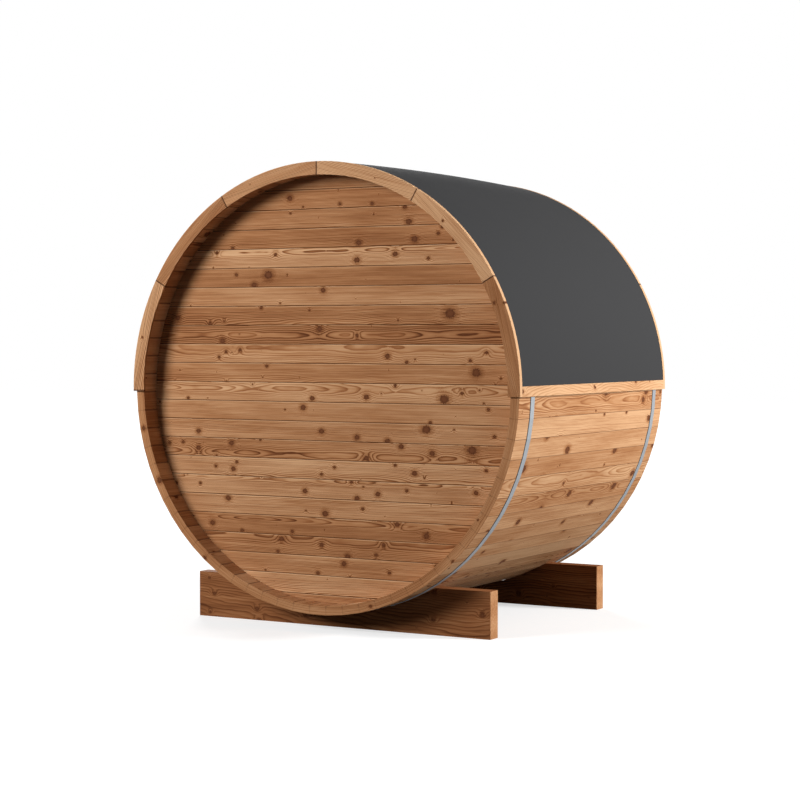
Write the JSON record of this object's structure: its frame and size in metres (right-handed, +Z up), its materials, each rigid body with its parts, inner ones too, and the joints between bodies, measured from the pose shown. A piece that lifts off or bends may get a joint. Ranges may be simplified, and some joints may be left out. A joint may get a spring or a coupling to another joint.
{
  "type": "barrel sauna",
  "caption": "Barrel-shaped timber sauna cabin on cradle beams, with lengthwise staves, recessed boarded ends, arched fascias, steel hoops and a sheet roof over the upper half.",
  "frame": {"origin": "on the ground, under the middle of the barrel", "axes": "+Z up; Y along the barrel, with the plain rear end towards -Y and the door towards +Y; X across it"},
  "size_m": [2.06, 1.589, 2.1373],
  "materials": {
    "stave_timber": "planed thermally treated softwood, unpainted, knotty",
    "wall_timber": "planed thermally treated softwood boards, unpainted, knotty",
    "fascia_timber": "sawn to a curve from planed boards, unpainted",
    "batten_timber": "planed, unpainted",
    "door_timber": "planed, unpainted",
    "cradle_timber": "planed beam, unpainted",
    "roofing_sheet": "matt dark grey sheet",
    "hoop_steel": "galvanised",
    "hinge_steel": "galvanised"
  },
  "bodies": {
    "root": {"staves_01": "stave_timber", "staves_02": "stave_timber", "staves_03": "stave_timber", "staves_04": "stave_timber", "staves_05": "stave_timber", "staves_06": "stave_timber", "staves_07": "stave_timber", "staves_08": "stave_timber", "staves_09": "stave_timber", "staves_10": "stave_timber", "staves_11": "stave_timber", "staves_12": "stave_timber", "rear_wall": "wall_timber", "front_wall_over_door": "wall_timber", "front_wall_under_door": "wall_timber", "front_wall_left": "wall_timber", "front_wall_right": "wall_timber", "door_frame": "door_timber", "door_boards": "door_timber", "door_ledges": "door_timber", "door_handle": "door_timber", "door_hinges": "hinge_steel", "rear_fascia": "fascia_timber", "front_fascia": "fascia_timber", "eave_batten_left": "batten_timber", "eave_batten_right": "batten_timber", "roof_cover": "roofing_sheet", "rear_hoop": "hoop_steel", "front_hoop": "hoop_steel", "rear_cradle": "cradle_timber", "front_cradle": "cradle_timber"}
  },
  "joints": []
}
